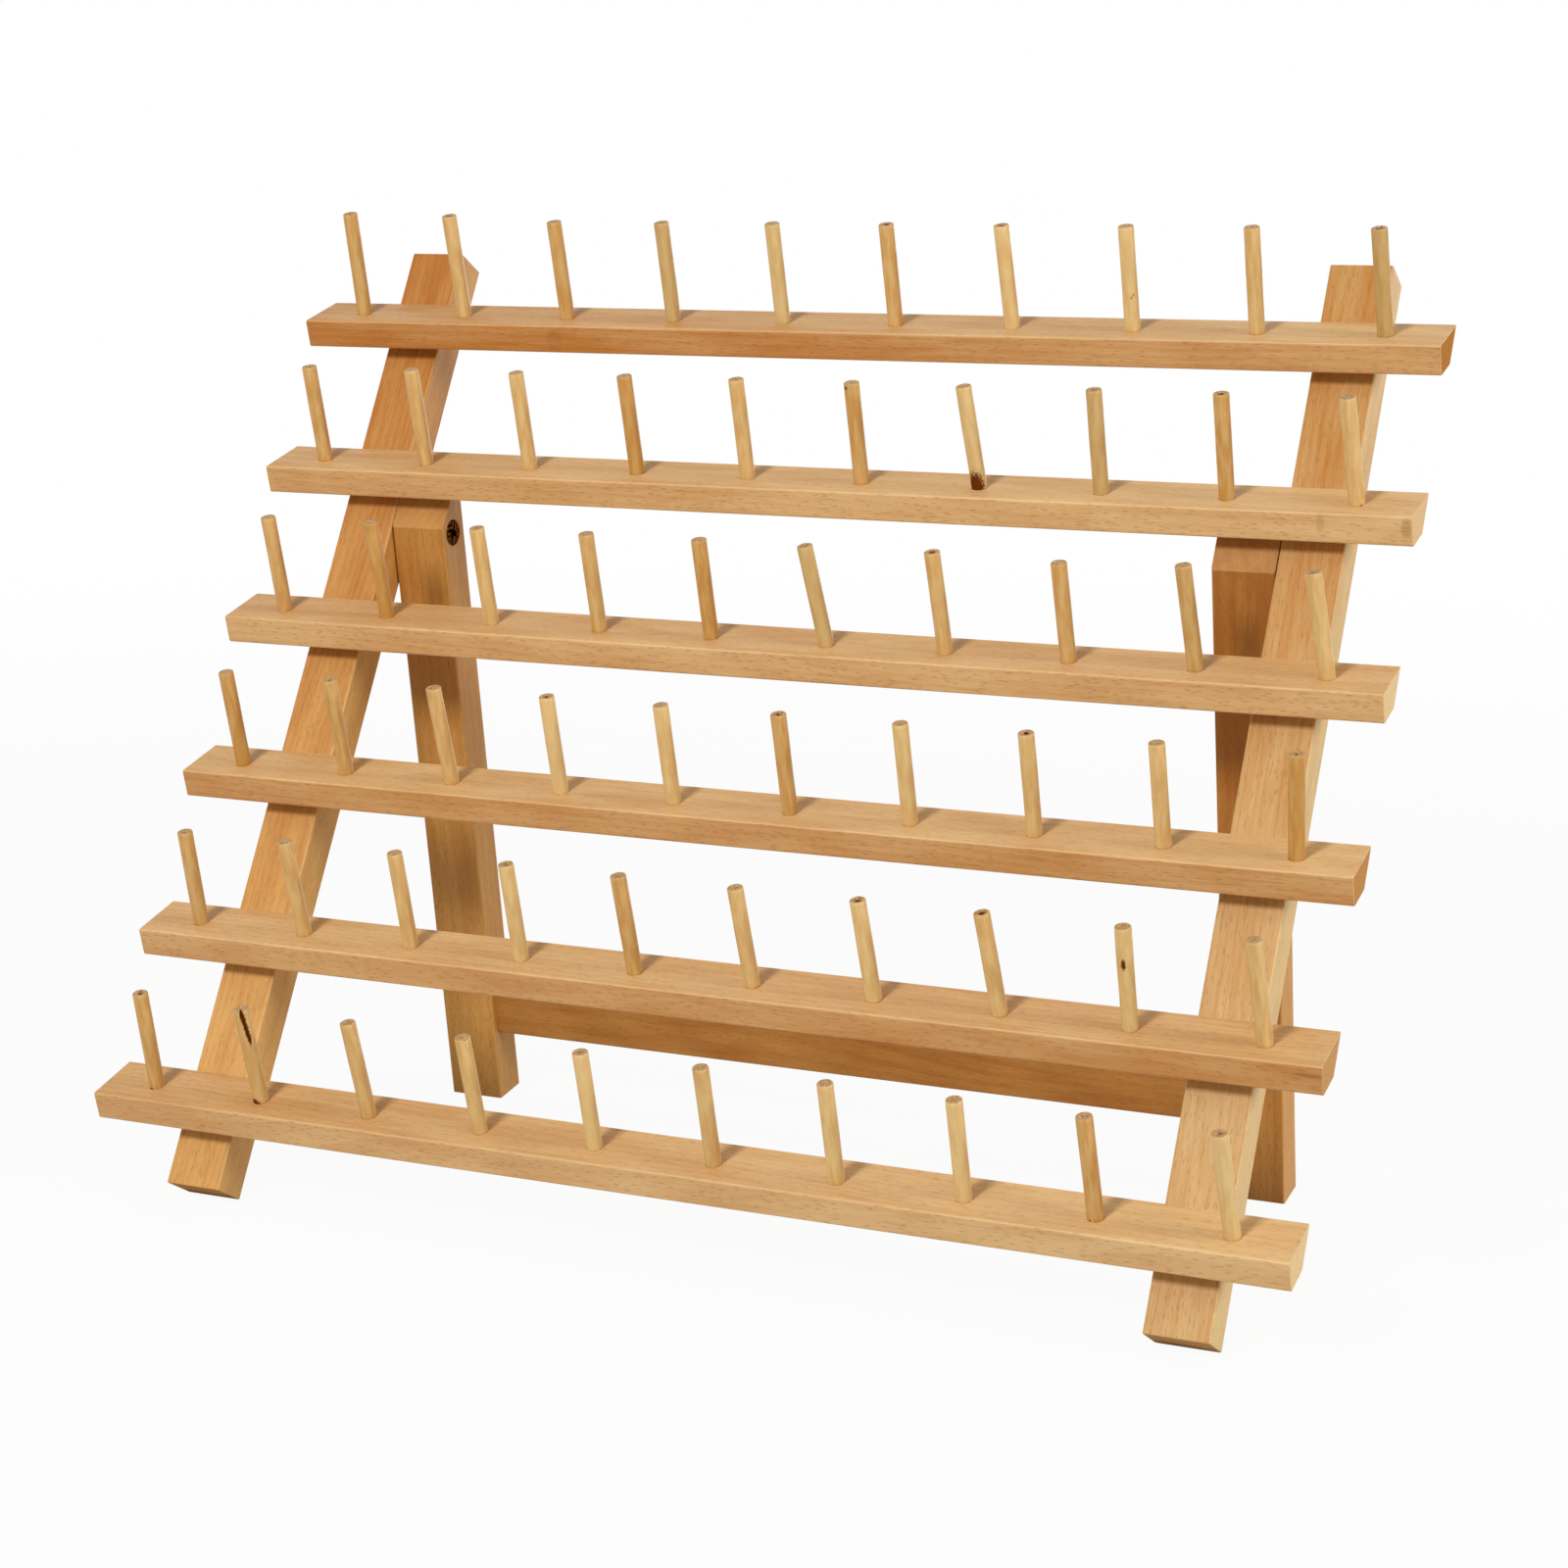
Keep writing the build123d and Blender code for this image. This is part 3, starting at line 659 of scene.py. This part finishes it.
def add_peg(mesh, rail, peg, shade, dull, pith):
    """Adds one peg's points, faces and shading data to the lists in mesh."""
    key = (rail, peg)
    seat, axis, right, back, wall = peg_frame(rail, peg)
    offset = Vector([rail * step + peg * other for step, other in zip(RAIL_GRAIN_STEP, PEG_GRAIN_STEP)])
    steps = peg_profile(wall)
    counts = [1 if radius == 0.0 else PEG_SEGMENTS for _, radius, _ in steps]
    add_rings(mesh["faces"], len(mesh["points"]), counts)
    for (height, radius, cut), count in zip(steps, counts):
        for segment in range(count):
            angle = math.tau * segment / PEG_SEGMENTS
            side = Vector((math.cos(angle), math.sin(angle), 0.0)) * radius
            lump = (side + offset + Vector((0, 0, height))) / MM
            lump = Vector((lump.x / PEG_UNEVEN_MM[0], lump.y / PEG_UNEVEN_MM[0], lump.z / PEG_UNEVEN_MM[1]))
            centre_share = max(0.0, 1 - radius / (PEG_RADIUS * PEG_PITH_RINGS[0])) if cut == 1.0 else 0.0
            sunk = centre_share * pith * PEG_PITH_DEPTH + (nick_at(key, radius, angle) if cut > 0 else 0.0)
            reach = radius + noise.noise(lump) * PEG_UNEVEN if radius else 0.0
            if key in PEG_SPLITS:
                reach *= 1 - split_at(key, wall, height, angle) * PEG_SPLITS[key][-1]
            lift = noise.noise(lump * PEG_SAWN_FINER) * PEG_UNEVEN if cut == 1.0 else 0.0
            point = seat + axis * (height + lift - sunk)
            point += (right * math.cos(angle) + back * math.sin(angle)) * reach
            stain_and_shade = max(stain_and_shade_at(key, wall, height, angle, cut), centre_share * pith * PITH_STAIN)
            mesh["points"].append(point)
            mesh["grain_place"].append(offset + side + Vector((0, 0, height)))
            for value, amount in zip(PEG_VALUES, (shade, dull, cut, stain_and_shade)):
                mesh[value].append(amount)


def add_rings(faces, first, counts):
    """Joins rings of points, each of one point or of a full turn, with faces that look outwards."""
    start = first
    for low, high in zip(counts, counts[1:]):
        upper = start + low
        for i in range(max(low, high)):
            j = (i + 1) % max(low, high)
            if low == 1:
                faces.append((start, upper + j, upper + i))
            elif high == 1:
                faces.append((start + i, start + j, upper))
            else:
                faces.append((start + i, start + j, upper + j, upper + i))
        start = upper


def make_pegs(rail, birch):
    """One row of pegs as a single piece on the front frame."""
    mesh = {key: [] for key in ("points", "faces", "grain_place") + PEG_VALUES}
    for peg in PEGS:
        key = (rail, peg)
        shades = [(low, high) for group, low, high in PEG_SHADES if key in group]
        shade = rng.uniform(*(shades or [OTHER_PEG_SHADES])[0])
        dull = PEG_DULL_SHARES.get(key, rng.uniform(*OTHER_PEG_DULL_SHARES))
        pith = PEG_PITH_SHARES.get(key, rng.uniform(*OTHER_PEG_PITH_SHARES))
        add_peg(mesh, rail, peg, shade, dull, pith)
    data = bpy.data.meshes.new(f"dowels_rail_{rail}")
    data.from_pydata(mesh["points"], [], mesh["faces"])
    places = data.attributes.new("grain_place", "FLOAT_VECTOR", "POINT")
    places.data.foreach_set("vector", [value for place in mesh["grain_place"] for value in place])
    for key in PEG_VALUES:
        data.attributes.new(key, "FLOAT", "POINT").data.foreach_set("value", mesh[key])
    data.shade_smooth()
    data.materials.append(birch)
    row = bpy.data.objects.new(f"dowels_rail_{rail}", data)
    bpy.context.scene.collection.objects.link(row)
    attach(row, "front_frame")
    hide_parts(f"pegs_rail_{rail}")


birch = birch_dowel("birch_dowel")
for rail in RAILS:
    make_pegs(rail, birch)


# The studio: a white floor that keeps a soft shadow and fades into a white surround between two
# distances from its middle. The camera sees most of it as plain white
FLOOR_RADIUS = 3.0
FLOOR_SEGMENTS = 96
FLOOR_FADE = (0.6, 1.8)
FLOOR_WHITE_SHARE = 0.94
PAPER = "#d0ceca"
WORLD_STRENGTH = 0.36
WORLD_COLOUR = "#fffdf9"
WHITE = "#ffffff"

# Where each lamp stands from the middle of the rack: degrees to the right of its front, degrees up,
# metres away, the lamp's own width and its power in watts. The one behind is weak, and only keeps the
# back from going dark
LAMPS = {
    "key_softbox": (-9.0, 33.0, 1.6, 0.3, 16.6),
    "side_softbox": (84.0, 15.0, 2.2, 0.6, 23.0),
    "back_softbox": (172.0, 12.0, 2.0, 0.8, 12.0),
}


def seen_directly(tree):
    """One where a ray comes from the camera, a mirror or glass, and zero where it is light."""
    path = add_node(tree, "LightPath").outputs
    seen = add_node(tree, "Math", MAXIMUM, path["Is Camera Ray"], path["Is Glossy Ray"])
    return add_node(tree, "Math", MAXIMUM, seen, path["Is Transmission Ray"])


def make_floor():
    """The floor, as a wide disc."""
    material, tree = new_material("white_paper")
    distance = add_node(tree, "VectorMath", LENGTH, add_node(tree, "TexCoord").outputs["Object"])
    paper = add_node(tree, "BsdfDiffuse", {"Color": PAPER})
    glow = add_node(tree, "Emission", {"Strength": 1.0})
    white = add_node(tree, "Math", MULTIPLY, seen_directly(tree), FLOOR_WHITE_SHARE)
    lit = add_node(tree, "MixShader", None, white, paper, glow)
    fade = add_node(tree, "MapRange", EASED, distance, *FLOOR_FADE, 0.0, 1.0)
    faded = add_node(tree, "MixShader", None, fade, lit, add_node(tree, "BsdfTransparent"))
    add_node(tree, "OutputMaterial", {"Surface": faded})
    bpy.ops.mesh.primitive_circle_add(vertices=FLOOR_SEGMENTS, radius=FLOOR_RADIUS, fill_type="NGON")
    floor = bpy.context.object
    floor.name = "studio_floor"
    floor.data.materials.append(material)


def make_world():
    """Even light from all round, and plain white where the camera looks past the floor."""
    world = bpy.data.worlds.new("studio")
    bpy.context.scene.world = world
    world.use_nodes = True
    tree = world.node_tree
    tree.nodes.clear()
    light = add_node(tree, "Background", {"Color": WORLD_COLOUR, "Strength": WORLD_STRENGTH})
    white = add_node(tree, "Background", {"Color": WHITE, "Strength": 1.0})
    mixed = add_node(tree, "MixShader", None, seen_directly(tree), light, white)
    add_node(tree, "OutputWorld", {"Surface": mixed})


def make_lamp(name, right_deg, up_deg, away, width, power):
    """A square lamp that faces the middle of the rack."""
    middle = (Vector(cad_low) + Vector(cad_high)) / 2
    right, up = math.radians(right_deg), math.radians(up_deg)
    towards = Vector((math.sin(right) * math.cos(up), -math.cos(right) * math.cos(up), math.sin(up)))
    data = bpy.data.lights.new(name, "AREA")
    data.size = width
    data.energy = power
    lamp = bpy.data.objects.new(name, data)
    lamp.location = middle + towards * away
    lamp.rotation_euler = towards.to_track_quat("Z", "Y").to_euler()
    bpy.context.scene.collection.objects.link(lamp)


def make_camera():
    """The photograph's camera."""
    data = bpy.data.cameras.new("camera")
    data.lens = CAMERA_LENS_MM
    data.sensor_width = CAMERA_SENSOR_MM
    camera = bpy.data.objects.new("camera", data)
    camera.location = CAMERA_PLACE
    camera.rotation_euler = [math.radians(angle) for angle in CAMERA_TURN_DEG]
    bpy.context.scene.collection.objects.link(camera)
    bpy.context.scene.camera = camera


make_floor()
make_world()
for name, values in LAMPS.items():
    make_lamp(name, *values)
make_camera()
bpy.context.scene.view_settings.view_transform = "Standard"
